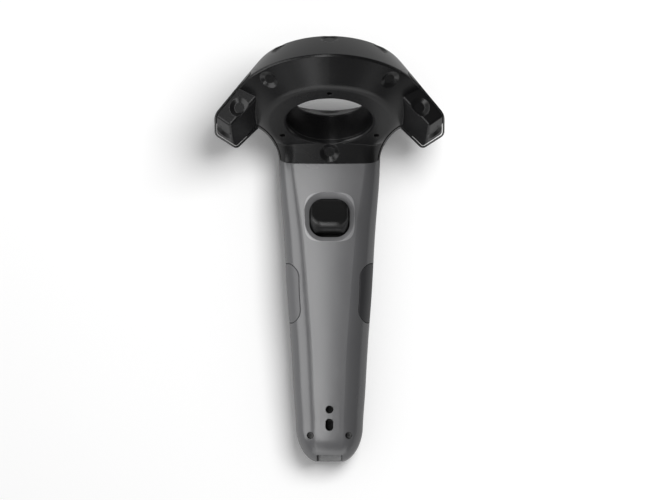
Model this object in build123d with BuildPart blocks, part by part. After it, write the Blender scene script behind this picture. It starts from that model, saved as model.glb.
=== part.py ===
from build123d import *
from math import cos, hypot, radians, sin, sqrt
import os

# Motion controller wand: a tracking ring with two side wings on a tapered hand grip.
# It lies with its thumb pad down. +Z is up, on the trigger side, and +Y points to the ring.
# X is across the wand. The origin is under the middle of it. All lengths are in millimetres.

os.makedirs("parts", exist_ok=True)

# Places along the wand
tail_end = -108.5
tail_turn = -90.0
joint_y = 43.8
joint_lean = 0.34
ring_y = 65.1
ring_z = 47.7
ring_tilt = 59.5

# Walls, clearances and the reach of cuts
wall = 2.0
grip_wall = 1.8
seat_gap = 0.3
button_gap = 0.35
shaft_gap = 0.05
overrun = 6.0
reach = 130.0

# Tracking ring section, as radius and depth behind the near face
hole_near_r = 22.0
hole_far_r = 18.5
hole_depth = 15.0
flat_r = 33.0
seam_r = 49.5
seam_drop = 9.8
band_r = 43.72
band_drop = 19.8
nose_r = 37.2
nose_drop = 29.4
rim_round = 1.6
cone_round = 8.0
nose_round = 2.5
seam_round = 1.2

# Plan of the wings and the neck, right half
neck_side = 25.8
crotch_x = 36.3
crotch_y = 62.0
heel_x = 47.4
heel_y = 51.2
tip_x = 58.6
tip_y = 58.3
brow_y = 68.7
root_x = 41.3
root_y = 89.5
heel_round = 2.5
tip_round = 3.5
brow_round = 8.0
wing_root_x = 24.0
wing_root_y = 72.0
seam_lip = 1.3
seam_groove = 0.4
wing_round = 1.6

# Faces of a wing: top, end, inner and front
wing_top = 57.0
wing_top_lean = 14.0
wing_end_y = 60.0
wing_end_x = 53.7
wing_end_z = 48.5
wing_inner_x = 42.7
wing_inner_y = 69.7
wing_inner_z = 57.5
wing_front_slope = 0.7
wing_front_x = 22.0
wing_front_z = 2.0
wing_depth = 24.0
wing_seam_z = 53.0

# Neck behind the ring
neck_back_slope = 0.49
neck_back_z = 24.0
neck_seam_z = 12.0
neck_skin = 0.2

# Hand grip
neck_half_width = 25.8
tail_half_width = 17.1
grip_height = 30.1
crest_y = -15.0
neck_drop = 6.1
tail_drop = 4.8
front_rise = 5.0
tip_half_width = 6.6
tip_low = 6.6
tip_high = 13.4
seam_z = 10.0
shoulder_share = 0.42
corner_share = 0.2
crown_share = 0.055

# Trigger and its opening in the back shell
trigger_y = 16.3
opening_width = 20.5
opening_length = 19.6
opening_round = 7.0
bezel_width = 3.1
bezel_depth = 2.2
collar_wall = 1.5
collar_depth = 1.0
trigger_gap = 0.65
pivot_y = 28.0
pivot_z = 21.0
pin_r = 1.0
pin_length = 24.4
hub_r = 2.4
hub_slot = 10.0
blade_root = 2.5
blade_rise = 7.2
blade_reach = 15.4
blade_height = 16.2
blade_dip = 0.5
lip_round = 1.1
trigger_corner = 7.0
lip_thickness = 3.6
skirt_r = 20.6
blade_wall = 1.7
cheek_wall = 1.6
cheek_height = 23.4
bracket_tail = 13.5
spring_r = 2.6
magnet_size = 1.7

# Grip buttons in the sides
side_button_y = -22.4
side_button_length = 30.0
side_button_width = 16.4
side_button_round = 7.0
side_button_mid = 8.7
side_button_lean = 30.0
side_button_wall = 1.5
side_button_travel = 0.8
side_button_root = 12.0
nub_r = 1.6
nub_length = 2.2
side_switch_size = 4.0
side_post_x = 13.5
side_post_width = 2.6
side_post_length = 6.0

# Thumb side
pad_y = 14.6
pad_r = 20.0
pad_flange = 1.2
flange_thickness = 0.6
pad_board_thickness = 0.8
press_travel = 0.5
menu_y = 41.0
menu_r = 3.5
system_y = -19.6
system_r = 4.25
cap_flange = 0.8
cap_proud = 0.4
pad_dish = 0.5
pad_tab_width = 14.0
pad_back_half = 11.5
pad_back_reach = 15.5
led_y = -28.5
led_r = 1.0

# Inner frame and boards
chassis_z = 12.0
chassis_thickness = 1.6
chassis_tail = -88.0
chassis_margin = 0.7
board_z = 9.0
board_thickness = 1.2
board_half_width = 16.0
board_tail = -46.0
board_head = 45.0
chip_height = 1.1
switch_height = 0.9
battery_length = 40.0
battery_width = 20.0
battery_height = 8.0
battery_head = -36.0
foam_thickness = 0.5
boss_r = 2.2
screw_r = 0.8
screw_head_r = 1.6
screw_head_height = 1.2
chassis_head = 57.0
chassis_head_half = 20.0
front_boss_x = 19.2
front_boss_y = 38.0
rear_boss_x = 12.0
rear_boss_y = -50.0
neck_boss_x = 10.0
neck_boss_y = 53.5
peg_x = 13.0
peg_head_y = 36.0
peg_tail_y = -30.0
peg_r = 1.8
haptic_y = -19.0
haptic_length = 20.0
haptic_width = 12.0
haptic_height = 7.0
can_length = 10.0
can_width = 22.0
can_height = 1.3
lead_width = 5.0
antenna_length = 6.0
antenna_width = 20.0

# Tail
usb_z = 10.0
usb_width = 7.6
usb_depth = 5.2
usb_height = 2.7
usb_wall = 0.3
usb_recess_width = 13.0
usb_recess_low = 6.6
usb_recess_high = 21.0
usb_recess_round = 1.0
usb_mouth = 3.4
usb_board_length = 20.5
usb_board_half_width = 6.2
usb_boss_x = 3.5
usb_boss_y = -97.0
lanyard_r = 2.0
lanyard_y = -81.7
lanyard_slot_y = -89.5
lanyard_slot_length = 6.2
lanyard_depth = 5.0
lanyard_wall = 3.0
tail_screw_x = 9.8
tail_screw_y = -95.0
tail_screw_hole_r = 1.75
tail_screw_seat = 14.0
tower_r = 3.0

# Sensor windows over the ring and the wings
window_r = 5.0
window_floor_r = 2.7
window_depth = 1.1
sensor_size = 2.6
sensor_thickness = 1.0

# Ring screws and the carrier ring inside
ring_screw_r = 27.5
ring_screw_hole_r = 1.4
ring_screw_seat = 5.0
ring_tower_r = 2.7
ring_boss_r = 3.6
carrier_drop = 13.5
carrier_thickness = 1.2
carrier_inner_r = 22.5
carrier_outer_r = 40.0
flex_inner_r = 33.0
flex_thickness = 0.2


def between(a, b, share):
    return a + (b - a) * share


def finish(piece, name):
    piece.label = name
    export_step(piece, "parts/" + name + ".step")


# Hand grip: its skin as a function of the place along the wand


def grip_half_width(y):
    # straight taper from the tail's turn to the neck joint
    return between(tail_half_width, neck_half_width, (y - tail_turn) / (joint_y - tail_turn))


def grip_front(y):
    # the thumb side rises slowly towards the ring
    return front_rise * (y - tail_turn) / (joint_y - tail_turn)


def grip_back(y):
    # the trigger side falls away by the square of the distance from its crest
    if y > crest_y:
        return grip_height - neck_drop * ((y - crest_y) / (joint_y - crest_y)) ** 2
    return grip_height - tail_drop * ((y - crest_y) / (tail_turn - crest_y)) ** 2


body_shares = (1.09, 1.0, 0.82, 0.61, 0.40, 0.19, 0.06, 0.0)
tail_shares = (0.3, 0.5, 0.66, 0.8, 0.9, 0.97, 1.0)


def grip_form(inset):
    # a loft through rounded sections, drawn in by the inset for the hollow inside
    rows = []
    for share in body_shares:
        y = between(tail_turn, joint_y, share)
        rows.append((y, grip_half_width(y), grip_front(y), grip_back(y), corner_share))
    for share in tail_shares:
        y = between(tail_turn, tail_end + inset, share)
        half = between(tip_half_width, tail_half_width, (1 - share**2) ** 0.6)
        low = between(tip_low, 0, sqrt(1 - share**2))
        high = between(tip_high, grip_back(tail_turn), sqrt(1 - share**2))
        rows.append((y, half, low, high, corner_share * (1 + share)))
    with BuildPart() as form:
        for y, half, low, high, corner in rows:
            side = half - inset
            top = high - inset
            bottom = low + inset
            depth = top - bottom
            shoulder_z = top - crown_share * depth
            with BuildSketch(Plane.XZ.offset(-y)) as cross:
                with BuildLine():
                    Polyline((-side, shoulder_z), (-side, bottom), (side, bottom), (side, shoulder_z))
                    ThreePointArc((side, shoulder_z), (0, top), (-side, shoulder_z))
                make_face()
                fillet(cross.vertices().group_by(Axis.Y)[0], corner * depth)
                fillet(cross.vertices().group_by(Axis.Y)[-1], shoulder_share * depth)
        loft()
    return form.part


# Ring frames: one square to the ring's axis, one in which its section is drawn
tilt_cos = cos(radians(ring_tilt))
tilt_sin = sin(radians(ring_tilt))
ring_plane = Plane(origin=(0, ring_y, ring_z), x_dir=(1, 0, 0), z_dir=(0, -tilt_sin, tilt_cos))
section_plane = Plane(origin=(0, ring_y, ring_z), x_dir=(1, 0, 0), z_dir=(0, -tilt_cos, -tilt_sin))
ring_axis = Axis(ring_plane.origin, ring_plane.z_dir)
joint_plane = Plane(origin=(0, joint_y, neck_back_z), x_dir=(1, 0, 0), z_dir=(0, 1, joint_lean))


def ring_form(inset):
    with BuildPart() as form:
        with BuildSketch(section_plane) as profile:
            with BuildLine():
                Polyline(
                    (nose_r, -nose_drop),
                    (hole_far_r, -hole_depth),
                    (hole_near_r, 0),
                    (flat_r, 0),
                    (seam_r, -seam_drop),
                )
                ThreePointArc((seam_r, -seam_drop), (band_r, -band_drop), (nose_r, -nose_drop))
            make_face()
            fillet(profile.vertices().sort_by_distance((hole_near_r, 0))[0], rim_round)
            fillet(profile.vertices().sort_by_distance((flat_r, 0))[0], cone_round)
            fillet(profile.vertices().sort_by_distance((nose_r, -nose_drop))[0], nose_round)
            fillet(profile.vertices().sort_by_distance((seam_r, -seam_drop))[0], seam_round)
            fillet(profile.vertices().sort_by_distance((hole_far_r, -hole_depth))[0], seam_round)
            if inset:
                offset(amount=-inset)
        revolve(axis=ring_axis)
    return form.part


def plan_form(inset):
    # the outline of the neck, the crotches and the wings, seen from above
    rise = crotch_y - joint_y
    flare_r = (rise**2 + (crotch_x - neck_side) ** 2) / (2 * (crotch_x - neck_side))
    with BuildPart() as form:
        with BuildSketch() as plan:
            with BuildLine():
                Line((0, joint_y - overrun), (neck_side, joint_y - overrun))
                Line((neck_side, joint_y - overrun), (neck_side, joint_y))
                RadiusArc((neck_side, joint_y), (crotch_x, crotch_y), flare_r)
                Polyline(
                    (crotch_x, crotch_y),
                    (heel_x, heel_y),
                    (tip_x, tip_y),
                    (tip_x, brow_y),
                    (root_x, root_y),
                    (tip_x, root_y + overrun),
                    (tip_x, reach),
                    (0, reach),
                    (0, joint_y - overrun),
                )
            make_face()
            fillet(plan.vertices().sort_by_distance((tip_x, tip_y))[0], tip_round)
            fillet(plan.vertices().sort_by_distance((tip_x, brow_y))[0], brow_round)
            fillet(plan.vertices().sort_by_distance((heel_x, heel_y))[0], heel_round)
            mirror(about=Plane.YZ)
            if inset:
                offset(amount=-inset)
        extrude(amount=reach)
    return form.part


# The straight outer edge of a wing runs from its root to its brow
edge_length = hypot(tip_x - root_x, root_y - brow_y)
wing_out = Vector((root_y - brow_y) / edge_length, (tip_x - root_x) / edge_length, 0)
lean = radians(wing_top_lean)
wing_top_normal = Vector(wing_out.X * sin(lean), wing_out.Y * sin(lean), cos(lean))
wing_edge_point = Vector(between(root_x, tip_x, 0.8), between(root_y, brow_y, 0.8), wing_top)
wing_end_normal = Vector(0.60, -0.71, 0.36).normalized()
wing_end_point = Vector(wing_end_x, wing_end_y, wing_end_z)
wing_inner_normal = Vector(-0.66, -0.62, 0.42).normalized()
wing_inner_point = Vector(wing_inner_x, wing_inner_y, wing_inner_z)
wing_front_normal = Vector(wing_front_slope, 0, -1).normalized()
wing_front_point = Vector(wing_front_x, 0, wing_front_z)


def wing_form(inset):
    # a block over the wing's plan, cut by its top, end, inner and front faces
    with BuildPart() as form:
        with BuildSketch():
            with BuildLine():
                Polyline(
                    (wing_root_x, wing_root_y),
                    (crotch_x, crotch_y),
                    (heel_x, heel_y - overrun),
                    (tip_x + overrun, tip_y),
                    (tip_x + overrun, brow_y),
                    (root_x + overrun, root_y),
                    (root_x, root_y),
                    close=True,
                )
            make_face()
        extrude(amount=reach)
        cuts = (
            (wing_edge_point, wing_top_normal),
            (wing_end_point, wing_end_normal),
            (wing_inner_point, wing_inner_normal),
            (wing_front_point, wing_front_normal),
            (wing_edge_point, wing_out),
        )
        for point, normal in cuts:
            split(bisect_by=Plane(origin=point - normal * inset, z_dir=normal), keep=Keep.BOTTOM)
        split(bisect_by=ring_plane.offset(inset - wing_depth), keep=Keep.TOP)
        if not inset:
            top, end, inner = [
                form.faces().sort_by(lambda face: face.normal_at().dot(normal))[-1].edges()
                for normal in (wing_top_normal, wing_end_normal, wing_inner_normal)
            ]
            fillet((top & end) + (top & inner) + (end & inner), wing_round)
    return form.part


neck_shares = (-0.15, 0.0, 0.22, 0.44, 0.66, 0.86, 1.0, 1.25)


def neck_form(inset):
    # the neck widens by an arc from the grip's width to the crotches
    rise = crotch_y - joint_y
    flare_r = (rise**2 + (crotch_x - neck_side) ** 2) / (2 * (crotch_x - neck_side))
    with BuildPart() as form:
        for share in neck_shares:
            y = between(joint_y, crotch_y, share)
            climb = rise * min(max(share, 0), 1)
            side = neck_side + flare_r - sqrt(flare_r**2 - climb**2) - inset - neck_skin
            bottom = between(front_rise, wing_front_z, min(max(share, 0) * 2, 1)) + inset
            top = neck_back_z + neck_back_slope * (y - joint_y) - inset
            depth = top - bottom
            shoulder_z = top - crown_share * depth
            with BuildSketch(Plane.XZ.offset(-y)) as cross:
                with BuildLine():
                    Polyline((-side, shoulder_z), (-side, bottom), (side, bottom), (side, shoulder_z))
                    ThreePointArc((side, shoulder_z), (0, top), (-side, shoulder_z))
                make_face()
                fillet(cross.vertices().group_by(Axis.Y)[0], corner_share * depth)
                fillet(cross.vertices().group_by(Axis.Y)[-1], shoulder_share * depth)
        loft()
        for turn in (1, -1):
            normal = Vector(turn * wing_front_slope, 0, -1).normalized()
            point = Vector(turn * wing_front_x, 0, wing_front_z)
            split(bisect_by=Plane(origin=point - normal * inset, z_dir=normal), keep=Keep.BOTTOM)
        split(bisect_by=ring_plane.offset(inset - wing_depth), keep=Keep.TOP)
    return form.part


def hole_form(inset):
    # the tapered hole through the ring, widened by the inset for the wall round it
    with BuildPart() as form:
        with BuildSketch(section_plane):
            with BuildLine():
                Polyline(
                    (0, overrun),
                    (hole_near_r + inset, overrun),
                    (hole_near_r + inset, 0),
                    (hole_far_r + inset, -hole_depth),
                    (hole_far_r + inset, -seam_r),
                    (0, -seam_r),
                    close=True,
                )
            make_face()
        revolve(axis=ring_axis)
    return form.part


def head_pieces(inset):
    # right halves of the ring, the neck and the wing, within the plan and clear of the hole
    pieces = []
    for piece in (ring_form(inset), neck_form(inset), wing_form(inset)):
        with BuildPart() as form:
            add(piece)
            add(plan_form(inset), mode=Mode.INTERSECT)
            add(hole_form(inset), mode=Mode.SUBTRACT)
            split(bisect_by=Plane.XY.offset(inset), keep=Keep.TOP)
            split(bisect_by=joint_plane, keep=Keep.TOP)
            split(bisect_by=Plane.YZ, keep=Keep.TOP)
        pieces.append(form.part)
    return pieces


with BuildPart() as head_block:
    for piece in head_pieces(0):
        add(piece)

with BuildPart() as head_half:
    add(head_block.part)
    for piece in head_pieces(wall):
        add(piece, mode=Mode.SUBTRACT)


# Sensor windows: places and outward normals, in the ring's frame or on the wings


def ring_place(angle, r, drop, out_share, near_share):
    # a point of the ring's skin with the normal given by its outward and near shares
    across = cos(radians(angle))
    up = sin(radians(angle))
    point = ring_plane.from_local_coords(Vector(r * across, r * up, -drop))
    normal = ring_plane.x_dir * (out_share * across) + ring_plane.y_dir * (out_share * up)
    normal = normal + ring_plane.z_dir * near_share
    return Plane(origin=point, z_dir=normal.normalized())


def mirrored(place):
    point, normal = place.origin, place.z_dir
    return Plane(origin=(-point.X, point.Y, point.Z), z_dir=(-normal.X, normal.Y, normal.Z))


def band_place(angle, share):
    # along the outer band, from the seam to the nose
    bulge = 4 * band_bulge * share * (1 - share)
    r = between(seam_r, nose_r, share) + bulge * band_out
    drop = between(seam_drop, nose_drop, share) - bulge * band_near
    return ring_place(angle, r, drop, band_out, band_near)


def dish_place(angle, share):
    # over the dished far face, from the hole to the nose
    r = between(hole_far_r, nose_r, share)
    return ring_place(angle, r, between(hole_depth, nose_drop, share), dish_out, dish_near)


def cone_place(angle, share):
    # over the near face's cone, from the flat to the seam
    return ring_place(angle, between(flat_r, seam_r, share), seam_drop * share, cone_out, cone_near)


def slope_place(x, y):
    # on the sloped thumb side of the neck and the wing
    return Plane(origin=(x, y, wing_front_z + wing_front_slope * (x - wing_front_x)), z_dir=wing_front_normal)


def wing_top_place(x, y):
    fall = (x - wing_edge_point.X) * wing_top_normal.X + (y - wing_edge_point.Y) * wing_top_normal.Y
    return Plane(origin=(x, y, wing_top - fall / wing_top_normal.Z), z_dir=wing_top_normal)


band_chord = hypot(nose_drop - seam_drop, seam_r - nose_r)
band_out = (nose_drop - seam_drop) / band_chord
band_near = -(seam_r - nose_r) / band_chord
band_bulge = (band_r - seam_r) * band_out - (band_drop - seam_drop) * band_near
dish_chord = hypot(nose_drop - hole_depth, nose_r - hole_far_r)
dish_out = -(nose_drop - hole_depth) / dish_chord
dish_near = -(nose_r - hole_far_r) / dish_chord
cone_chord = hypot(seam_drop, seam_r - flat_r)
cone_out = seam_drop / cone_chord
cone_near = (seam_r - flat_r) / cone_chord

band_share = 0.8
cone_share = 0.64
dish_share = 0.55
top_window_x = 46.0
top_window_y = 72.3
neck_window_y = 49.3
side_share = 0.62
side_window_z = 36.0
front_window_x = 47.0
front_window_y = 66.0
low_window_x = 31.0
low_window_y = 61.5

# right half and middle windows, then their mirrored twins
back_middle = [
    band_place(90, band_share),
    Plane(
        origin=(0, neck_window_y, neck_back_z + neck_back_slope * (neck_window_y - joint_y)),
        z_dir=(0, -neck_back_slope, 1),
    ),
]
back_right = [
    cone_place(45, cone_share),
    band_place(50, band_share),
    wing_top_place(top_window_x, top_window_y),
    Plane(origin=wing_end_point, z_dir=wing_end_normal),
]
front_middle = [dish_place(-90, dish_share)]
front_right = [
    dish_place(58, dish_share),
    dish_place(14, dish_share),
    dish_place(-58, dish_share),
    Plane(
        origin=(between(root_x, tip_x, side_share), between(root_y, brow_y, side_share), side_window_z),
        z_dir=wing_out,
    ),
    slope_place(front_window_x, front_window_y),
    slope_place(low_window_x, low_window_y),
]


def window_cuts(places):
    # shallow dishes with a flat floor, one over each sensor
    cuts = []
    floor_to_skin = (window_r - window_floor_r) / window_depth
    for place in places:
        with BuildPart() as dish:
            with BuildSketch(place.offset(-window_depth)):
                Circle(window_floor_r)
            with BuildSketch(place.offset(wall / 2)):
                Circle(window_r + floor_to_skin * wall / 2)
            loft()
        cuts.append(dish.part)
    return cuts


# Head shells: back cover with the near face, front cover with the outer band and the dish


def back_zone(lip):
    # the space of the back cover, held in by the lip from the outline
    with BuildPart() as zone:
        add(plan_form(lip))
        split(bisect_by=ring_plane.offset(-seam_drop), keep=Keep.TOP)
        with BuildSketch(Plane.XY.offset(wing_seam_z)):
            with Locations((tip_x, crotch_y), (-tip_x, crotch_y)):
                Rectangle(2 * (tip_x - crotch_x), tip_x)
        extrude(amount=reach)
        add(plan_form(lip), mode=Mode.INTERSECT)
        split(bisect_by=Plane.XY.offset(neck_seam_z), keep=Keep.TOP)
        with BuildSketch(ring_plane.offset(-wall)):
            Circle(hole_near_r + wall)
        extrude(amount=-reach, mode=Mode.SUBTRACT)
    return zone.part


def cover_half(zone, zone_mode, windows):
    # one half of the head's shell on one side of its seam, with its sensor windows cut
    with BuildPart() as half:
        add(head_half.part)
        add(zone, mode=zone_mode)
        for cut in window_cuts(windows):
            add(cut, mode=Mode.SUBTRACT)
    return half.part


with BuildPart() as head_back_cover:
    add(cover_half(back_zone(seam_lip), Mode.INTERSECT, back_middle + back_right))
    mirror(about=Plane.YZ)
    with BuildSketch(ring_plane.offset(-wall / 2)):
        with PolarLocations(ring_screw_r, 3, start_angle=90):
            Circle(ring_tower_r)
    extrude(amount=wall / 2 - carrier_drop)
    with BuildSketch(ring_plane.offset(overrun)):
        with PolarLocations(ring_screw_r, 3, start_angle=90):
            Circle(ring_screw_hole_r)
    extrude(amount=-overrun - ring_screw_seat, mode=Mode.SUBTRACT)
    with BuildSketch(ring_plane):
        with PolarLocations(ring_screw_r, 3, start_angle=90):
            Circle(screw_r + shaft_gap)
    extrude(amount=-reach, mode=Mode.SUBTRACT)
finish(head_back_cover.part, "head_back_cover")

with BuildPart() as head_bosses:
    with BuildSketch(ring_plane.offset(-carrier_drop)):
        with PolarLocations(ring_screw_r, 3, start_angle=90):
            Circle(ring_boss_r)
    extrude(amount=-nose_drop)
    with BuildSketch():
        with Locations((neck_boss_x, neck_boss_y)):
            Circle(boss_r)
    extrude(amount=chassis_z)
    add(head_block.part, mode=Mode.INTERSECT)

with BuildPart() as head_front_cover:
    groove_zone = back_zone(seam_lip - seam_groove)
    add(cover_half(groove_zone, Mode.SUBTRACT, back_middle + front_middle + back_right + front_right))
    add(head_bosses.part)
    mirror(about=Plane.YZ)
    with BuildSketch(ring_plane.offset(-carrier_drop)):
        with PolarLocations(ring_screw_r, 3, start_angle=90):
            Circle(screw_r)
    extrude(amount=-ring_screw_seat, mode=Mode.SUBTRACT)
    with BuildSketch(Plane.XY.offset(chassis_z)):
        with Locations((neck_boss_x, neck_boss_y), (-neck_boss_x, neck_boss_y)):
            Circle(screw_r)
    extrude(amount=-ring_screw_seat, mode=Mode.SUBTRACT)
finish(head_front_cover.part, "head_front_cover")

# Ring screws: a pan head in the tower and a shank down into the boss
with BuildPart() as ring_screws:
    with BuildSketch(ring_plane.offset(-ring_screw_seat)):
        with PolarLocations(ring_screw_r, 3, start_angle=90):
            Circle(ring_screw_hole_r - shaft_gap)
            RegularPolygon(screw_r / 2, 6, mode=Mode.SUBTRACT)
    extrude(amount=screw_head_height)
    with BuildSketch(ring_plane.offset(-ring_screw_seat)):
        with PolarLocations(ring_screw_r, 3, start_angle=90):
            Circle(screw_r)
    extrude(amount=-carrier_drop + shaft_gap)
finish(ring_screws.part, "ring_screws")

# Carrier ring: a flat plastic ring on the bosses that holds the sensors' flexible circuit
with BuildPart() as sensor_carrier:
    with BuildSketch(ring_plane.offset(-carrier_drop)):
        Circle(carrier_outer_r)
        Circle(carrier_inner_r, mode=Mode.SUBTRACT)
        with PolarLocations(ring_screw_r, 3, start_angle=90):
            Circle(ring_tower_r + shaft_gap, mode=Mode.SUBTRACT)
    extrude(amount=carrier_thickness)
finish(sensor_carrier.part, "sensor_carrier")

with BuildPart() as sensor_flex:
    with BuildSketch(ring_plane.offset(carrier_thickness - carrier_drop)):
        Circle(carrier_outer_r - seat_gap)
        Circle(flex_inner_r, mode=Mode.SUBTRACT)
    extrude(amount=flex_thickness)
finish(sensor_flex.part, "sensor_flex")


def sensor_set(places, name):
    # one light sensor block behind each window, just off the inside of the wall
    with BuildPart() as sensors:
        for place in places:
            with BuildSketch(place.offset(-wall - seat_gap)):
                Rectangle(sensor_size, sensor_size)
            extrude(amount=-sensor_thickness)
    finish(sensors.part, name)


back_left = [mirrored(place) for place in back_right]
front_left = [mirrored(place) for place in front_right]
sensor_set(back_middle + back_right + back_left, "back_sensors")
sensor_set(front_middle + front_right + front_left, "front_sensors")

# Grip shells

grip_skin = grip_form(0)
grip_hollow = grip_form(grip_wall)
trigger_slope = -2 * neck_drop * (trigger_y - crest_y) / (joint_y - crest_y) ** 2
trigger_plane = Plane(origin=(0, trigger_y, grip_back(trigger_y)), x_dir=(1, 0, 0), z_dir=(0, -trigger_slope, 1))
thumb_slope = front_rise / (joint_y - tail_turn)


def thumb_plane(y):
    # on the thumb side's skin, facing into the grip
    return Plane(origin=(0, y, grip_front(y)), x_dir=(1, 0, 0), z_dir=(0, -thumb_slope, 1))


def side_plane(turn, along):
    # square to the press of a grip button, some way out along that press
    out = Vector(turn * cos(radians(side_button_lean)), 0, sin(radians(side_button_lean)))
    up = Vector(-turn * sin(radians(side_button_lean)), 0, cos(radians(side_button_lean)))
    origin = up * side_button_mid + out * along + Vector(0, side_button_y, 0)
    return Plane(origin=origin, x_dir=(0, 1, 0), z_dir=out)


def side_prism(turn, margin):
    with BuildPart() as prism:
        with BuildSketch(side_plane(turn, side_button_root)):
            RectangleRounded(
                side_button_length + 2 * margin, side_button_width + 2 * margin, side_button_round + margin
            )
        extrude(amount=reach)
    return prism.part


tail_screws_at = ((tail_screw_x, tail_screw_y), (-tail_screw_x, tail_screw_y))

usb_face = tail_end + usb_mouth

with BuildPart() as recess_wall:
    # the walls behind and beside the charging recess, with a slot for the socket
    with BuildSketch(Plane.XZ.offset(-usb_face - grip_wall)):
        Rectangle(usb_recess_width + 2 * grip_wall, 2 * grip_height)
        with Locations((0, usb_z)):
            Rectangle(usb_width + seat_gap, usb_height + seat_gap, mode=Mode.SUBTRACT)
    extrude(amount=reach)

with BuildPart() as back_inner:
    add(recess_wall.part)
    # recess wall, collar round the trigger, block behind the lanyard holes, screw towers
    with BuildSketch(trigger_plane.offset(-bezel_depth - collar_depth)):
        RectangleRounded(
            opening_width + 2 * collar_wall, opening_length + 2 * collar_wall, opening_round + collar_wall
        )
    extrude(amount=reach)
    with BuildSketch(Plane.XY.offset(grip_back(lanyard_y) - grip_wall - lanyard_depth)):
        with Locations((0, between(lanyard_y, lanyard_slot_y, 0.5))):
            span = lanyard_y - lanyard_slot_y + lanyard_slot_length / 2 + lanyard_r + lanyard_wall
            Rectangle(2 * lanyard_r + 2 * lanyard_wall, span)
    extrude(amount=reach)
    with BuildSketch(Plane.XY.offset(seam_z)):
        with Locations(*tail_screws_at):
            Circle(tower_r)
    extrude(amount=reach)
    add(grip_skin, mode=Mode.INTERSECT)

with BuildPart() as usb_recess:
    with BuildSketch(Plane.XZ.offset(-usb_face)):
        with Locations((0, between(usb_recess_low, usb_recess_high, 0.5))):
            RectangleRounded(usb_recess_width, usb_recess_high - usb_recess_low, usb_recess_round)
    extrude(amount=reach)

with BuildPart() as handle_back_shell:
    add(grip_skin)
    add(grip_hollow, mode=Mode.SUBTRACT)
    add(back_inner.part)
    split(bisect_by=Plane.XY.offset(seam_z), keep=Keep.TOP)
    split(bisect_by=joint_plane, keep=Keep.BOTTOM)
    with BuildSketch(trigger_plane.offset(-overrun)):
        RectangleRounded(opening_width, opening_length, opening_round)
    extrude(amount=2 * overrun, mode=Mode.SUBTRACT)
    with BuildSketch(trigger_plane.offset(-bezel_depth)):
        RectangleRounded(opening_width, opening_length, opening_round)
    with BuildSketch(trigger_plane.offset(bezel_depth)):
        RectangleRounded(
            opening_width + 4 * bezel_width, opening_length + 4 * bezel_width, opening_round + 2 * bezel_width
        )
    loft(mode=Mode.SUBTRACT)
    with BuildSketch(Plane.XY.offset(grip_height)):
        with Locations((0, lanyard_y)):
            Circle(lanyard_r)
        with Locations((0, lanyard_slot_y)):
            SlotOverall(lanyard_slot_length, 2 * lanyard_r, rotation=90)
        with Locations(*tail_screws_at):
            Circle(tail_screw_hole_r)
    extrude(amount=tail_screw_seat - grip_height, mode=Mode.SUBTRACT)
    with BuildSketch(Plane.XY):
        with Locations(*tail_screws_at):
            Circle(screw_r + shaft_gap)
    extrude(amount=grip_height, mode=Mode.SUBTRACT)
    add(usb_recess.part, mode=Mode.SUBTRACT)
    for turn in (1, -1):
        add(side_prism(turn, button_gap), mode=Mode.SUBTRACT)
finish(handle_back_shell.part, "handle_back_shell")

boss_places = (
    (front_boss_x, front_boss_y),
    (-front_boss_x, front_boss_y),
    (rear_boss_x, rear_boss_y),
    (-rear_boss_x, rear_boss_y),
)

with BuildPart() as front_inner:
    add(recess_wall.part)
    split(bisect_by=Plane.XY.offset(seam_z), keep=Keep.BOTTOM)
    # the recess wall, and bosses under the chassis, the tail screws and the socket's board
    with BuildSketch():
        with Locations(*boss_places):
            Circle(boss_r)
    extrude(amount=chassis_z)
    with BuildSketch():
        with Locations(*tail_screws_at):
            Circle(tower_r)
    extrude(amount=seam_z)
    with BuildSketch():
        with Locations((usb_boss_x, usb_boss_y), (-usb_boss_x, usb_boss_y)):
            Circle(peg_r)
    extrude(amount=usb_z - usb_height / 2 - board_thickness)
    add(grip_skin, mode=Mode.INTERSECT)

with BuildPart() as handle_front_shell:
    add(grip_skin)
    add(grip_hollow, mode=Mode.SUBTRACT)
    split(bisect_by=Plane.XY.offset(seam_z), keep=Keep.BOTTOM)
    add(front_inner.part)
    split(bisect_by=joint_plane, keep=Keep.BOTTOM)
    with BuildSketch(thumb_plane(pad_y).offset(-overrun)):
        Circle(pad_r + button_gap)
    extrude(amount=2 * overrun, mode=Mode.SUBTRACT)
    for y, r in ((menu_y, menu_r), (system_y, system_r), (led_y, led_r - seat_gap)):
        with BuildSketch(thumb_plane(y).offset(-overrun)):
            Circle(r + seat_gap)
        extrude(amount=2 * overrun, mode=Mode.SUBTRACT)
    with BuildSketch(Plane.XY.offset(chassis_z)):
        with Locations(*boss_places, *tail_screws_at):
            Circle(screw_r)
    extrude(amount=-chassis_z + grip_wall + front_rise, mode=Mode.SUBTRACT)
    add(usb_recess.part, mode=Mode.SUBTRACT)
finish(handle_front_shell.part, "handle_front_shell")

# Grip buttons: pieces of the skin with a nub behind that reaches for a switch
button_hollow = grip_form(side_button_wall)
with BuildPart() as side_ray:
    with BuildSketch(side_plane(1, 0)):
        Circle(nub_r)
    extrude(amount=reach)
    add(button_hollow, mode=Mode.INTERSECT)
side_axis = Axis(side_plane(1, 0).origin, side_plane(1, 0).z_dir)
side_far = side_ray.faces().sort_by(side_axis)[-1].center()
side_inner = (side_far - side_plane(1, 0).origin).dot(side_plane(1, 0).z_dir)

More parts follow.
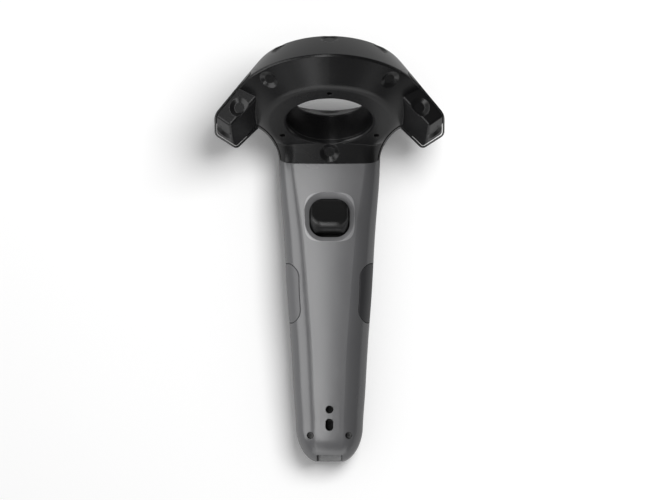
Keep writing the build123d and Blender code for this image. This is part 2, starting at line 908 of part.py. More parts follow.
for turn, name in ((1, "right"), (-1, "left")):
    with BuildPart() as grip_button:
        add(grip_skin)
        add(button_hollow, mode=Mode.SUBTRACT)
        add(side_prism(turn, 0), mode=Mode.INTERSECT)
        with BuildSketch(side_plane(turn, side_inner - nub_length)):
            Circle(nub_r)
        extrude(amount=nub_length + side_button_wall / 2)
    finish(grip_button.part, "grip_button_" + name)
    with BuildPart() as grip_switch:
        face = side_inner - nub_length - side_button_travel - shaft_gap
        with BuildSketch(side_plane(turn, face)):
            Rectangle(side_switch_size, side_switch_size)
        extrude(amount=-side_switch_size)
        with BuildSketch(Plane.XY.offset(chassis_z + chassis_thickness)):
            with Locations((turn * side_post_x, side_button_y)):
                Rectangle(side_post_width, side_post_length)
        extrude(amount=side_switch_size)
    finish(grip_switch.part, "grip_switch_" + name)

# Trigger: a hollow blade with a skirt round its pivot, open on the inside

skirt_low = Vector(pivot_y - skirt_r, pivot_z + pin_r)
lip_y = pivot_y - blade_reach
lip_z = pivot_z + blade_height
skirt_top_z = lip_z - lip_thickness
skirt_top_y = pivot_y - sqrt(skirt_r**2 - (skirt_top_z - pivot_z) ** 2)
skirt_mid_z = between(skirt_low.Y, skirt_top_z, 0.5)
skirt_mid_y = pivot_y - sqrt(skirt_r**2 - (skirt_mid_z - pivot_z) ** 2)
blade_y = pivot_y - blade_root
blade_z = pivot_z + blade_rise
inner_r = skirt_r - blade_wall
inner_top_z = lip_z - lip_thickness
inner_top_y = pivot_y - sqrt(inner_r**2 - (inner_top_z - pivot_z) ** 2)
inner_mid_y = pivot_y - sqrt(inner_r**2 - (skirt_mid_z - pivot_z) ** 2)
trigger_half = opening_width / 2 - trigger_gap

lip_r = hypot(blade_reach + lip_round, blade_height - lip_round)

with BuildPart() as opening_surround:
    # what lies outside the opening, less a gap, cuts the root's corners
    with BuildSketch(trigger_plane.offset(-bezel_depth - collar_depth - trigger_gap)):
        Rectangle(reach, reach)
        RectangleRounded(
            opening_width - 2 * seat_gap, opening_length - 2 * seat_gap, opening_round - seat_gap, mode=Mode.SUBTRACT
        )
    extrude(amount=reach)

with BuildPart() as trigger_sweep:
    # turned about the pin, so the rounded corners keep clear of the opening at every pull
    with BuildSketch(Plane.XY.offset(pivot_z)):
        with Locations((0, pivot_y)):
            RectangleRounded(2 * trigger_half, 2 * lip_r, trigger_corner)
        with Locations((0, pivot_y + lip_r)):
            Rectangle(2 * trigger_half, 2 * lip_r, mode=Mode.SUBTRACT)
    revolve(axis=Axis((0, pivot_y, pivot_z), (1, 0, 0)))

with BuildPart() as trigger:
    with BuildSketch(Plane.YZ):
        with BuildLine():
            Polyline(
                (skirt_low.X, skirt_low.Y),
                (pivot_y, pivot_z - hub_r),
                (pivot_y + hub_r, pivot_z - hub_r),
                (pivot_y + hub_r, pivot_z + hub_r - shaft_gap * 8),
                (blade_y, pivot_z + hub_r),
                (blade_y, blade_z),
            )
            ThreePointArc(
                (blade_y, blade_z),
                (between(blade_y, lip_y, 0.5) + blade_dip, between(blade_z, lip_z, 0.5) - blade_dip),
                (lip_y, lip_z),
            )
            Polyline((lip_y, lip_z), (lip_y - lip_round, lip_z - lip_round), (skirt_top_y, skirt_top_z))
            ThreePointArc((skirt_top_y, skirt_top_z), (skirt_mid_y, skirt_mid_z), (skirt_low.X, skirt_low.Y))
        make_face()
    extrude(amount=trigger_half, both=True)
    fillet(trigger.edges().filter_by(Axis.X).sort_by(Axis.Z)[-2:], lip_round)
    add(trigger_sweep.part, mode=Mode.INTERSECT)
    add(opening_surround.part, mode=Mode.SUBTRACT)
    with BuildSketch(Plane.YZ):
        with BuildLine():
            Polyline(
                (pivot_y - inner_r, pivot_z - hub_r * 2),
                (pivot_y - hub_r * 1.3, pivot_z - hub_r * 2),
                (pivot_y - hub_r * 1.3, blade_z - blade_wall * 1.5),
                (lip_y + blade_wall, inner_top_z - blade_wall / 2),
                (inner_top_y, inner_top_z - blade_wall / 2),
                (inner_mid_y, skirt_mid_z),
                (pivot_y - inner_r, pivot_z),
                close=True,
            )
        make_face()
    extrude(amount=trigger_half - blade_wall, both=True, mode=Mode.SUBTRACT)
    with BuildSketch(Plane.YZ):
        with Locations((pivot_y, pivot_z)):
            Circle(pin_r + shaft_gap)
    extrude(amount=trigger_half, both=True, mode=Mode.SUBTRACT)
    with BuildSketch(Plane.YZ):
        with Locations((pivot_y, pivot_z)):
            Circle(spring_r + seat_gap)
    extrude(amount=hub_slot / 2, both=True, mode=Mode.SUBTRACT)
finish(trigger.part, "trigger")

with BuildPart() as trigger_pin:
    with BuildSketch(Plane.YZ):
        with Locations((pivot_y, pivot_z)):
            Circle(pin_r)
    extrude(amount=pin_length / 2, both=True)
finish(trigger_pin.part, "trigger_pin")

with BuildPart() as trigger_spring:
    with BuildSketch(Plane.YZ):
        with Locations((pivot_y, pivot_z)):
            Circle(spring_r)
            Circle(pin_r + seat_gap, mode=Mode.SUBTRACT)
    extrude(amount=hub_slot / 2 - seat_gap, both=True)
finish(trigger_spring.part, "trigger_spring")

magnet_rise = (pin_r + magnet_size) / (skirt_mid_z - pivot_z)
magnet_y = between(pivot_y - inner_r, inner_mid_y, magnet_rise) + shaft_gap
with BuildPart() as trigger_magnet:
    with BuildSketch(Plane.XY.offset(pivot_z + pin_r)):
        with Locations((0, magnet_y + magnet_size / 2)):
            Rectangle(2 * magnet_size, magnet_size)
    extrude(amount=magnet_size)
finish(trigger_magnet.part, "trigger_magnet")

chassis_top = chassis_z + chassis_thickness
cheek_x = trigger_half + trigger_gap + seat_gap
with BuildPart() as trigger_bracket:
    with BuildSketch(Plane.XY.offset(chassis_top)):
        with Locations((0, between(bracket_tail, pivot_y + 1.6 * hub_r, 0.5))):
            Rectangle(2 * cheek_x + 2 * cheek_wall, pivot_y + 1.6 * hub_r - bracket_tail)
    extrude(amount=cheek_wall)
    for turn in (1, -1):
        with BuildSketch(Plane.XY.offset(chassis_top)):
            with Locations((turn * (cheek_x + cheek_wall / 2), pivot_y)):
                Rectangle(cheek_wall, 3 * hub_r)
        extrude(amount=cheek_height - chassis_top)
    with BuildSketch(Plane.YZ):
        with Locations((pivot_y, pivot_z)):
            Circle(pin_r + shaft_gap)
    extrude(amount=pin_length, both=True, mode=Mode.SUBTRACT)
finish(trigger_bracket.part, "trigger_bracket")

with BuildPart() as hall_sensor:
    with BuildSketch(Plane.XY.offset(chassis_top)):
        with Locations((0, magnet_y + magnet_size)):
            Rectangle(2 * magnet_size, magnet_size)
    extrude(amount=chip_height)
finish(hall_sensor.part, "hall_sensor")

with BuildPart() as trigger_switch:
    with BuildSketch(Plane.XY.offset(chassis_top)):
        with Locations((trigger_half / 2, magnet_y + magnet_size)):
            Rectangle(side_switch_size, side_switch_size)
    extrude(amount=chip_height + flange_thickness)
finish(trigger_switch.part, "trigger_switch")

# Thumb side: pad, buttons and light

# the pad is a piece of the skin with a flat back and a tab at either end
pad_back = grip_wall + seat_gap + flange_thickness
with BuildPart() as trackpad:
    add(grip_skin)
    add(grip_hollow, mode=Mode.SUBTRACT)
    with BuildSketch(thumb_plane(pad_y).offset(-overrun)):
        Circle(pad_r)
    extrude(amount=2 * overrun, mode=Mode.INTERSECT)
    with BuildSketch(thumb_plane(pad_y).offset(pad_dish + seat_gap)):
        RectangleRounded(2 * pad_back_half, 2 * pad_back_reach, pad_flange)
    extrude(amount=pad_back - pad_dish - seat_gap)
    with BuildSketch(thumb_plane(pad_y).offset(grip_wall + seat_gap)):
        Circle(pad_r + pad_flange)
        Rectangle(pad_tab_width, 3 * pad_r, mode=Mode.INTERSECT)
    extrude(amount=flange_thickness)
    dish_sphere_r = (pad_r**2 + pad_dish**2) / (2 * pad_dish)
    with Locations(thumb_plane(pad_y).offset(pad_dish - dish_sphere_r)):
        Sphere(dish_sphere_r, mode=Mode.SUBTRACT)
finish(trackpad.part, "trackpad")

with BuildPart() as trackpad_board:
    with BuildSketch(thumb_plane(pad_y).offset(pad_back)):
        RectangleRounded(2 * pad_back_half, 2 * pad_back_reach, pad_flange)
    extrude(amount=pad_board_thickness)
finish(trackpad_board.part, "trackpad_board")

dome_height = board_z - grip_front(pad_y) - pad_back - pad_board_thickness - press_travel - seat_gap
with BuildPart() as trackpad_dome:
    with BuildSketch(Plane.XY.offset(board_z)):
        with Locations((0, pad_y)):
            Circle(menu_r)
    extrude(amount=-dome_height)
finish(trackpad_dome.part, "trackpad_dome")


def thumb_button(y, r, name):
    # a proud cap, a flange behind the wall and a stem to a switch under the main board
    stem_end = board_z - switch_height - grip_front(y) - press_travel - shaft_gap * 3
    with BuildPart() as button:
        with BuildSketch(thumb_plane(y).offset(-cap_proud)):
            Circle(r)
        extrude(amount=cap_proud + grip_wall + seat_gap)
        fillet(button.faces().sort_by(Axis.Z)[0].edges(), cap_proud / 2)
        with BuildSketch(thumb_plane(y).offset(grip_wall + seat_gap)):
            Circle(r + cap_flange)
        extrude(amount=min(flange_thickness, stem_end - grip_wall - seat_gap))
        with BuildSketch(thumb_plane(y)):
            Circle(r / 2)
        extrude(amount=stem_end)
    finish(button.part, name + "_button")
    with BuildPart() as switch:
        with BuildSketch(Plane.XY.offset(board_z)):
            with Locations((0, y)):
                Rectangle(side_switch_size, side_switch_size)
        extrude(amount=-switch_height)
    finish(switch.part, name + "_switch")


thumb_button(menu_y, menu_r, "menu")
thumb_button(system_y, system_r, "system")

with BuildPart() as status_light_lens:
    with BuildSketch(thumb_plane(led_y)):
        Circle(led_r)
    extrude(amount=board_z - chip_height - grip_front(led_y) - seat_gap)
finish(status_light_lens.part, "status_light_lens")

with BuildPart() as status_led:
    with BuildSketch(Plane.XY.offset(board_z)):
        with Locations((0, led_y)):
            Rectangle(2 * led_r, 2 * led_r)
    extrude(amount=-chip_height)
finish(status_led.part, "status_led")

# Chassis: the stiff frame that the boards, the battery and the trigger are fixed to


def chassis_half(y):
    return grip_half_width(y) - grip_wall - chassis_margin


neck_screws_at = ((neck_boss_x, neck_boss_y), (-neck_boss_x, neck_boss_y))
pegs_at = ((peg_x, peg_head_y), (-peg_x, peg_head_y), (peg_x, peg_tail_y), (-peg_x, peg_tail_y))

with BuildPart() as chassis:
    with BuildSketch(Plane.XY.offset(chassis_z)) as plate:
        with BuildLine():
            Polyline(
                (0, chassis_tail),
                (chassis_half(chassis_tail), chassis_tail),
                (chassis_half(front_boss_y), front_boss_y),
                (chassis_head_half, chassis_head),
                (0, chassis_head),
                close=True,
            )
        make_face()
        mirror(about=Plane.YZ)
        with Locations(*boss_places, *neck_screws_at):
            Circle(screw_r + shaft_gap, mode=Mode.SUBTRACT)
    extrude(amount=chassis_thickness)
    with BuildSketch(Plane.XY.offset(board_z + board_thickness)):
        with Locations(*pegs_at):
            Circle(peg_r)
    extrude(amount=chassis_z - board_z - board_thickness)
    with BuildSketch(Plane.XY.offset(board_z)):
        with Locations(*pegs_at):
            Circle(screw_r)
    extrude(amount=chassis_top - board_z, mode=Mode.SUBTRACT)
finish(chassis.part, "chassis")


def screw_set(places, seat, length, turn, name):
    # pan heads on a seat with their shanks running back from the head, all alike
    with BuildPart() as screws:
        with BuildSketch(Plane.XY.offset(seat)):
            with Locations(*places):
                Circle(screw_head_r)
                RegularPolygon(screw_r / 2, 6, mode=Mode.SUBTRACT)
        extrude(amount=turn * screw_head_height)
        with BuildSketch(Plane.XY.offset(seat)):
            with Locations(*places):
                Circle(screw_r)
        extrude(amount=-turn * length)
    finish(screws.part, name)


screw_length = chassis_thickness + ring_screw_seat - shaft_gap
screw_set(boss_places, chassis_top, chassis_thickness + ring_screw_seat - grip_wall, 1, "chassis_screws")
screw_set(neck_screws_at, chassis_top, screw_length, 1, "neck_screws")
screw_set(pegs_at, board_z, chassis_z - board_z, -1, "board_screws")
screw_set(tail_screws_at, tail_screw_seat, tail_screw_seat - grip_wall - front_rise, 1, "tail_screws")

with BuildPart() as main_board:
    with BuildSketch(Plane.XY.offset(board_z)):
        with Locations((0, between(board_tail, board_head, 0.5))):
            RectangleRounded(2 * board_half_width, board_head - board_tail, 2 * screw_head_r)
        with Locations(*pegs_at):
            Circle(screw_r + shaft_gap, mode=Mode.SUBTRACT)
    extrude(amount=board_thickness)
finish(main_board.part, "main_board")

chip_size_share = 0.45
with BuildPart() as board_chips:
    with BuildSketch(Plane.XY.offset(board_z + board_thickness)):
        for share in (0.16, 0.38, 0.56, 0.74):
            with Locations((0, between(board_tail, board_head, share))):
                Rectangle(board_half_width * chip_size_share, board_half_width * chip_size_share)
    extrude(amount=chip_height)
finish(board_chips.part, "board_chips")

can_y = board_tail + can_length / 2 + 2 * screw_head_r
with BuildPart() as shield_can:
    with BuildSketch(Plane.XY.offset(board_z)):
        with Locations((0, can_y)):
            RectangleRounded(can_width, can_length, screw_r)
    extrude(amount=-can_height)
finish(shield_can.part, "shield_can")

battery_y = battery_head - battery_length / 2
with BuildPart() as battery_foam:
    with BuildSketch(Plane.XY.offset(chassis_top)):
        with Locations((0, battery_y)):
            Rectangle(battery_width * 0.9, battery_length * 0.9)
    extrude(amount=foam_thickness)
finish(battery_foam.part, "battery_foam")

with BuildPart() as battery:
    with BuildSketch(Plane.XZ.offset(-battery_head)):
        with Locations((0, chassis_top + foam_thickness + battery_height / 2)):
            RectangleRounded(battery_width, battery_height, battery_height * 0.3)
    extrude(amount=battery_length)
finish(battery.part, "battery")

with BuildPart() as battery_board:
    with BuildSketch(Plane.XZ.offset(-battery_head)):
        with Locations((0, chassis_top + foam_thickness + battery_height / 2)):
            Rectangle(battery_width * 0.8, battery_height * 0.7)
    extrude(amount=-chip_height)
finish(battery_board.part, "battery_board")

with BuildPart() as haptic_actuator:
    with BuildSketch(Plane.XY.offset(chassis_top)):
        with Locations((0, haptic_y)):
            RectangleRounded(haptic_width, haptic_length, 2 * screw_r)
    extrude(amount=haptic_height)
finish(haptic_actuator.part, "haptic_actuator")

with BuildPart() as antenna:
    with BuildSketch(Plane.XY.offset(chassis_top)):
        with Locations((0, chassis_tail + antenna_length / 2 + seat_gap)):
            Rectangle(antenna_width, antenna_length)
    extrude(amount=flange_thickness)
finish(antenna.part, "antenna")

# Tail: the socket, its board and the flat lead to the main board
usb_board_top = usb_z - usb_height / 2
with BuildPart() as usb_socket:
    with BuildSketch(Plane.XZ.offset(-usb_face)):
        with Locations((0, usb_z)):
            RectangleRounded(usb_width, usb_height, usb_height * 0.3)
    extrude(amount=-usb_depth)
    with BuildSketch(Plane.XZ.offset(-usb_face)):
        with Locations((0, usb_z)):
            RectangleRounded(usb_width - 2 * usb_wall, usb_height - 2 * usb_wall, usb_height * 0.2)
            Rectangle(usb_width * 0.7, usb_height * 0.25, mode=Mode.SUBTRACT)
    extrude(amount=-usb_depth * 0.8, mode=Mode.SUBTRACT)
finish(usb_socket.part, "usb_socket")

with BuildPart() as usb_board:
    with BuildSketch(Plane.XY.offset(usb_board_top)):
        with Locations((0, usb_face + grip_wall + seat_gap + usb_board_length / 2)):
            Rectangle(2 * usb_board_half_width, usb_board_length)
    extrude(amount=-board_thickness)
finish(usb_board.part, "usb_board")

lead_tail = usb_face + usb_board_length - lead_width
lead_head = board_tail + 2 * screw_r
with BuildPart() as usb_lead:
    with BuildSketch(Plane.XY.offset(board_z)):
        with Locations((0, between(lead_tail, lead_head, 0.5))):
            Rectangle(lead_width, lead_head - lead_tail)
    extrude(amount=usb_board_top - board_z)
finish(usb_lead.part, "usb_lead")
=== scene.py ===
import bpy
from mathutils import Matrix, Vector

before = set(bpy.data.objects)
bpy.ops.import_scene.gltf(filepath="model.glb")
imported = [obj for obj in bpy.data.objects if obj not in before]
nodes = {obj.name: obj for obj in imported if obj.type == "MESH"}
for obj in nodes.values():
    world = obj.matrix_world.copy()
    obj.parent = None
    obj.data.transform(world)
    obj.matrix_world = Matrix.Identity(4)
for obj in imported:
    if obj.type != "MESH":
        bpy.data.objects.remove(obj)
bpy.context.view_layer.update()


# Grip shells: the long tapered handle is moulded in a dark silver plastic with a fine satin
# grain. The two halves meet in a hairline seam along the sides, out of sight from above. The
# chamfer round the trigger's opening is painted a lighter grey all round: a painted reflection,
# standing in for the bright sheen that the lamps here don't give it.
def satin(name, tint, rough, grain_scale, grain_depth, patch=0.06, spec=0.5, edge=0.0003):
    """A moulded plastic: fine grain as bump, slow patches in tint and roughness, soft edges."""
    mat = bpy.data.materials.new(name)
    mat.use_nodes = True
    tree = mat.node_tree
    shader = tree.nodes["Principled BSDF"]
    shader.inputs["Specular IOR Level"].default_value = spec
    place = tree.nodes.new("ShaderNodeTexCoord")
    grain = tree.nodes.new("ShaderNodeTexNoise")
    grain.inputs["Scale"].default_value = grain_scale
    grain.inputs["Detail"].default_value = 4.0
    tree.links.new(place.outputs["Object"], grain.inputs["Vector"])
    bump = tree.nodes.new("ShaderNodeBump")
    bump.inputs["Strength"].default_value = 0.5
    bump.inputs["Distance"].default_value = grain_depth
    tree.links.new(grain.outputs["Fac"], bump.inputs["Height"])
    soft_edge = tree.nodes.new("ShaderNodeBevel")
    soft_edge.samples = 6
    soft_edge.inputs["Radius"].default_value = edge
    tree.links.new(soft_edge.outputs["Normal"], bump.inputs["Normal"])
    tree.links.new(bump.outputs["Normal"], shader.inputs["Normal"])
    wear = tree.nodes.new("ShaderNodeTexNoise")
    wear.inputs["Scale"].default_value = 38.0
    wear.inputs["Detail"].default_value = 3.0
    tree.links.new(place.outputs["Object"], wear.inputs["Vector"])
    spread = tree.nodes.new("ShaderNodeMapRange")
    spread.inputs["To Min"].default_value = rough - patch
    spread.inputs["To Max"].default_value = rough + patch
    tree.links.new(wear.outputs["Fac"], spread.inputs["Value"])
    tree.links.new(spread.outputs["Result"], shader.inputs["Roughness"])
    tint_change = 0.07
    tones = tree.nodes.new("ShaderNodeMix")
    tones.data_type = "RGBA"
    tones.inputs["A"].default_value = [c * (1.0 - tint_change) for c in tint] + [1.0]
    tones.inputs["B"].default_value = [min(1.0, c * (1.0 + tint_change)) for c in tint] + [1.0]
    tree.links.new(wear.outputs["Fac"], tones.inputs["Factor"])
    tree.links.new(tones.outputs["Result"], shader.inputs["Base Color"])
    return mat


def dress(mat, *names):
    """Gives CAD nodes a material on their objects' own slots."""
    for name in names:
        obj = nodes[name]
        if not obj.material_slots:
            obj.data.materials.append(mat)
        for slot in obj.material_slots:
            slot.link = "OBJECT"
            slot.material = mat


def rounded_field(tree, centre, half):
    """1 - ((x - cx)/hx)^4 - ((y - cy)/hy)^4 in Object coordinates, never under 0: a soft square."""
    place = tree.nodes.new("ShaderNodeTexCoord")
    scaled = tree.nodes.new("ShaderNodeMapping")
    scaled.inputs["Scale"].default_value = (1.0 / half[0], 1.0 / half[1], 0.0)
    scaled.inputs["Location"].default_value = (-centre[0] / half[0], -centre[1] / half[1], 0.0)
    tree.links.new(place.outputs["Object"], scaled.inputs["Vector"])
    power = scaled.outputs["Vector"]
    for _ in range(2):
        square = tree.nodes.new("ShaderNodeVectorMath")
        square.operation = "MULTIPLY"
        tree.links.new(power, square.inputs[0])
        tree.links.new(power, square.inputs[1])
        power = square.outputs["Vector"]
    total = tree.nodes.new("ShaderNodeVectorMath")
    total.operation = "DOT_PRODUCT"
    tree.links.new(power, total.inputs[0])
    total.inputs[1].default_value = (1.0, 1.0, 0.0)
    field = tree.nodes.new("ShaderNodeMath")
    field.operation = "SUBTRACT"
    field.use_clamp = True
    field.inputs[0].default_value = 1.0
    tree.links.new(total.outputs["Value"], field.inputs[1])
    return field.outputs["Value"]


grip_mat = satin(
    "grip_satin", tint=(0.074, 0.074, 0.077), rough=0.26, grain_scale=2600.0,
    grain_depth=0.00002, patch=0.03, spec=0.9, edge=0.0004,
)
bezel_centre = (0.0, 0.0166)
bezel_half = (0.0129, 0.0126)
grip_tree = grip_mat.node_tree
# Painted reflection: a soft square round the trigger's opening is mixed to a lighter grey, in place
# of a lit sheen on the chamfer.
bezel_reflection_mask = grip_tree.nodes.new("ShaderNodeMapRange")
bezel_reflection_mask.inputs["From Max"].default_value = 0.04
bezel_field = rounded_field(grip_tree, bezel_centre, bezel_half)
grip_tree.links.new(bezel_field, bezel_reflection_mask.inputs["Value"])
bezel_painted_reflection = grip_tree.nodes.new("ShaderNodeMix")
bezel_painted_reflection.data_type = "RGBA"
bezel_painted_reflection.inputs["B"].default_value = (0.17, 0.17, 0.174, 1.0)
grip_base = grip_tree.nodes["Principled BSDF"].inputs["Base Color"]
grip_tree.links.new(grip_base.links[0].from_socket, bezel_painted_reflection.inputs["A"])
grip_tree.links.new(bezel_reflection_mask.outputs["Result"], bezel_painted_reflection.inputs["Factor"])
grip_tree.links.new(bezel_painted_reflection.outputs["Result"], grip_base)
dress(grip_mat, "handle_back_shell", "handle_front_shell")

# Head covers: the ring, the wings and the neck are two near-black mouldings with a soft sheen.
# They meet at a lipped seam with a small groove, and screws hold them round the ring's hole.
head_mat = satin(
    "head_satin", tint=(0.0035, 0.0035, 0.0038), rough=0.26, grain_scale=3200.0,
    grain_depth=0.00002, patch=0.04, spec=0.42, edge=0.0005,
)
dress(head_mat, "head_back_cover", "head_front_cover")

# Grip buttons: one long press pad in each side of the handle, of the same family of plastic.
# The left one is grey; the right one is painted nearly black, a painted shade for the dark
# that falls on the handle's right side.
grip_left_mat = satin(
    "grip_button_grey", tint=(0.085, 0.085, 0.088), rough=0.36, grain_scale=2600.0,
    grain_depth=0.00006,
)
# Painted shade: the right button's near-black tint stands for the shade on the handle's right side.
grip_right_mat = satin(
    "grip_button_dark", tint=(0.025, 0.025, 0.027), rough=0.4, grain_scale=2600.0,
    grain_depth=0.00005,
)
dress(grip_left_mat, "grip_button_left")
dress(grip_right_mat, "grip_button_right")

# Trigger: a polished black paddle in a chamfered opening, with a skirt under its lip. It turns
# on a steel pin. The menu and system buttons of the thumb side are of the same gloss plastic.
trigger_mat = satin(
    "trigger_gloss", tint=(0.008, 0.008, 0.008), rough=0.22, grain_scale=900.0,
    grain_depth=0.00001, patch=0.03, spec=0.6, edge=0.003,
)
dress(trigger_mat, "trigger", "menu_button", "system_button")

# Trackpad: a round matt pad on the thumb side, with a fine even texture for the thumb. It sits
# over a dome switch and gives way by half a millimetre.
pad_mat = satin(
    "pad_matt", tint=(0.02, 0.02, 0.021), rough=0.5, grain_scale=4200.0, grain_depth=0.00008,
)
dress(pad_mat, "trackpad")

# Screws, pins and stamped parts: bare steel, or blackened steel for the screws of the ring and
# the tail and for the charging socket. Both have a fine drawn grain.
steel_mat = satin(
    "plain_steel", tint=(0.5, 0.5, 0.5), rough=0.3, grain_scale=1500.0, grain_depth=0.00003,
)
steel_mat.node_tree.nodes["Principled BSDF"].inputs["Metallic"].default_value = 1.0
dark_steel_mat = satin(
    "black_steel", tint=(0.06, 0.06, 0.06), rough=0.35, grain_scale=1500.0, grain_depth=0.00003,
)
dark_steel_mat.node_tree.nodes["Principled BSDF"].inputs["Metallic"].default_value = 0.8
dress(
    steel_mat, "chassis_screws", "neck_screws", "board_screws", "trigger_pin",
    "trigger_spring", "trigger_magnet", "shield_can", "haptic_actuator", "trackpad_dome",
)
dress(dark_steel_mat, "ring_screws", "tail_screws", "usb_socket")

# Inner frame: the chassis, the trigger's bracket and the sensors' carrier are plain black
# mouldings, held inside the shells and the covers. The battery's foam pad has the same tone.
inner_mat = satin(
    "inner_black", tint=(0.03, 0.03, 0.03), rough=0.55, grain_scale=1800.0, grain_depth=0.00004,
)
dress(inner_mat, "chassis", "trigger_bracket", "sensor_carrier", "battery_foam")

# Boards and leads: green solder mask, black packages and amber flexible film. The small pieces
# behind the lanyard holes are plain black as painted shade, because both holes look dark.
board_mat = satin(
    "board_green", tint=(0.02, 0.15, 0.06), rough=0.35, grain_scale=1200.0, grain_depth=0.00002,
)
chip_mat = satin(
    "chip_black", tint=(0.02, 0.02, 0.02), rough=0.5, grain_scale=2200.0, grain_depth=0.00003,
)
film_mat = satin(
    "film_amber", tint=(0.5, 0.26, 0.05), rough=0.3, grain_scale=800.0, grain_depth=0.00001,
)
dress(board_mat, "main_board", "trackpad_board", "battery_board")
dress(
    chip_mat, "board_chips", "hall_sensor", "trigger_switch", "menu_switch",
    "system_switch", "grip_switch_left", "grip_switch_right", "back_sensors", "front_sensors",
)
dress(film_mat, "sensor_flex")
# Painted shade: the pieces behind the lanyard holes are plain black so that the holes read dark.
dress(inner_mat, "usb_board", "usb_lead", "antenna")

# Battery: a flat cell in a silver foil pouch. It lies on its foam pad inside the grip.
pouch_mat = satin(
    "pouch_foil", tint=(0.55, 0.57, 0.6), rough=0.3, grain_scale=300.0, grain_depth=0.0001,
)
dress(pouch_mat, "battery")

# Status light: a pale moulded light pipe in the thumb side, over a small white lamp that sits
# on a board. Both have the same pale tone.
light_mat = satin(
    "light_pipe", tint=(0.8, 0.83, 0.83), rough=0.15, grain_scale=900.0, grain_depth=0.00001,
)
dress(light_mat, "status_light_lens", "status_led")

# Floor: the plain white table that the wand lies on, with its soft shadow. It is white to the
# camera and grey to all other rays, so the light that it throws back leaves the sides dark.
table_size = 6.0
table_drop = 0.0005
bpy.ops.mesh.primitive_plane_add(size=table_size, location=(0.0, 0.0, -table_drop))
floor = bpy.context.object
floor.name = "floor"
floor_mat = bpy.data.materials.new("floor_white")
floor_mat.use_nodes = True
floor_tree = floor_mat.node_tree
floor_shader = floor_tree.nodes["Principled BSDF"]
floor_tone = floor_tree.nodes.new("ShaderNodeMix")
floor_tone.data_type = "RGBA"
floor_tone.inputs["A"].default_value = (0.55, 0.55, 0.55, 1.0)
floor_tone.inputs["B"].default_value = (1.0, 1.0, 1.0, 1.0)
floor_ray = floor_tree.nodes.new("ShaderNodeLightPath")
floor_tree.links.new(floor_ray.outputs["Is Camera Ray"], floor_tone.inputs["Factor"])
floor_tree.links.new(floor_tone.outputs["Result"], floor_shader.inputs["Base Color"])
floor_shader.inputs["Roughness"].default_value = 0.9
floor_shader.inputs["Specular IOR Level"].default_value = 0.1
floor.data.materials.append(floor_mat)


# Studio light: a tall soft box over the wand's left side gives the handle its bright band and
# leaves its right side dark. One box, from the upper right, lights the table alone and draws the
# soft shadow that lies to the left of the wand and below it. The others light all but the table.
def soft_box(name, place, aim, width, height, watts, receivers):
    """An area light that faces a point, its width level and its height square to it."""
    data = bpy.data.lights.new(name, "AREA")
    data.shape = "RECTANGLE"
    data.size = width
    data.size_y = height
    data.energy = watts
    lamp = bpy.data.objects.new(name, data)
    bpy.context.scene.collection.objects.link(lamp)
    lamp.location = place
    back = (Vector(place) - Vector(aim)).normalized()
    across = Vector((0.0, 1.0, 0.0)).cross(back).normalized()
    turn = Matrix((across, back.cross(across), back)).transposed()
    lamp.rotation_euler = turn.to_euler()
    lamp.visible_camera = False
    lamp.light_linking.receiver_collection = receivers


table_only = bpy.data.collections.new("table_only")
table_only.objects.link(floor)
all_but_table = bpy.data.collections.new("all_but_table")
all_but_table.objects.link(floor)
all_but_table.collection_objects[0].light_linking.link_state = "EXCLUDE"

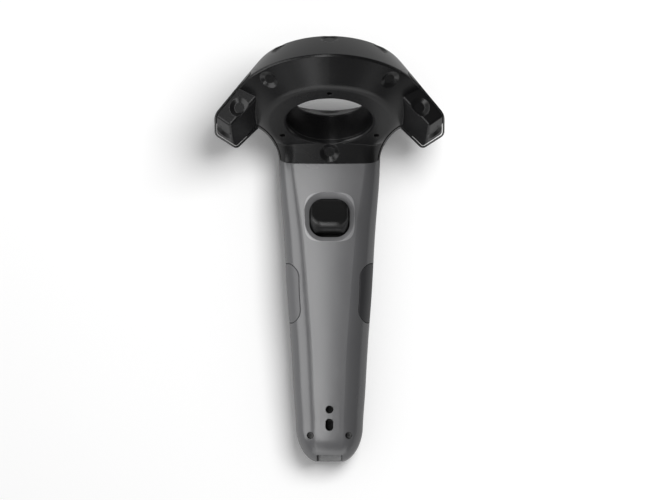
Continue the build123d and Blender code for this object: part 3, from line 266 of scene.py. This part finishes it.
middle = (0.0, 0.0, 0.0)
grip_side = (0.0, 0.0, 0.02)
ring_face = (0.0, 0.085, 0.07)
trigger_foot = (0.0, 0.03, 0.03)
soft_box(
    "top_box", place=(-0.18, 0.2, 1.4), aim=middle,
    width=0.34, height=2.8, watts=13.5, receivers=all_but_table,
)
soft_box(
    "side_box", place=(-1.2, 0.1, 0.75), aim=grip_side,
    width=1.3, height=1.8, watts=17.0, receivers=all_but_table,
)
soft_box(
    "stripe_box", place=(-0.3, -1.35, 0.87), aim=ring_face,
    width=0.3, height=0.8, watts=1.3, receivers=all_but_table,
)
soft_box(
    "foot_box", place=(0.0, -1.6, 0.3), aim=trigger_foot,
    width=1.8, height=0.9, watts=6.0, receivers=all_but_table,
)
soft_box(
    "table_box", place=(0.45, 0.5, 1.3), aim=middle,
    width=0.8, height=0.7, watts=16.0, receivers=table_only,
)


# Background: the white paper behind the table. It is plain white to the camera, dim to
# mirrored rays and grey to all other rays, so the near-black head doesn't turn grey.
world = bpy.data.worlds.new("studio")
bpy.context.scene.world = world
world.use_nodes = True
sky = world.node_tree


def plain_sky(shader, strength):
    """Makes a background shader even white, of one strength."""
    shader.inputs["Color"].default_value = (1.0, 1.0, 1.0, 1.0)
    shader.inputs["Strength"].default_value = strength
    return shader


room = plain_sky(sky.nodes["Background"], 0.45)
white = plain_sky(sky.nodes.new("ShaderNodeBackground"), 1.0)
dim = plain_sky(sky.nodes.new("ShaderNodeBackground"), 0.09)
ray = sky.nodes.new("ShaderNodeLightPath")
gloss = sky.nodes.new("ShaderNodeMixShader")
sky.links.new(ray.outputs["Is Glossy Ray"], gloss.inputs["Fac"])
sky.links.new(room.outputs["Background"], gloss.inputs[1])
sky.links.new(dim.outputs["Background"], gloss.inputs[2])
choice = sky.nodes.new("ShaderNodeMixShader")
sky.links.new(ray.outputs["Is Camera Ray"], choice.inputs["Fac"])
sky.links.new(gloss.outputs["Shader"], choice.inputs[1])
sky.links.new(white.outputs["Background"], choice.inputs[2])
sky.links.new(choice.outputs["Shader"], sky.nodes["World Output"].inputs["Surface"])

# Camera: a long lens that looks straight down on the wand from far off, as in the photo. The
# picture is 340.6 mm wide at 25 mm above the table.
reach = 8.0
view_height = 0.025
view_width = 0.3406
lens = bpy.data.cameras.new("main_camera")
lens.sensor_width = 36.0
lens.lens = lens.sensor_width * reach / view_width
lens.clip_start = 0.5
lens.clip_end = 40.0
camera = bpy.data.objects.new("main_camera", lens)
camera.location = (0.00204, -0.00026, reach + view_height)
camera.rotation_euler = (0.0, 0.0, 0.0)
bpy.context.scene.collection.objects.link(camera)
bpy.context.scene.camera = camera
bpy.context.scene.view_settings.view_transform = "Standard"
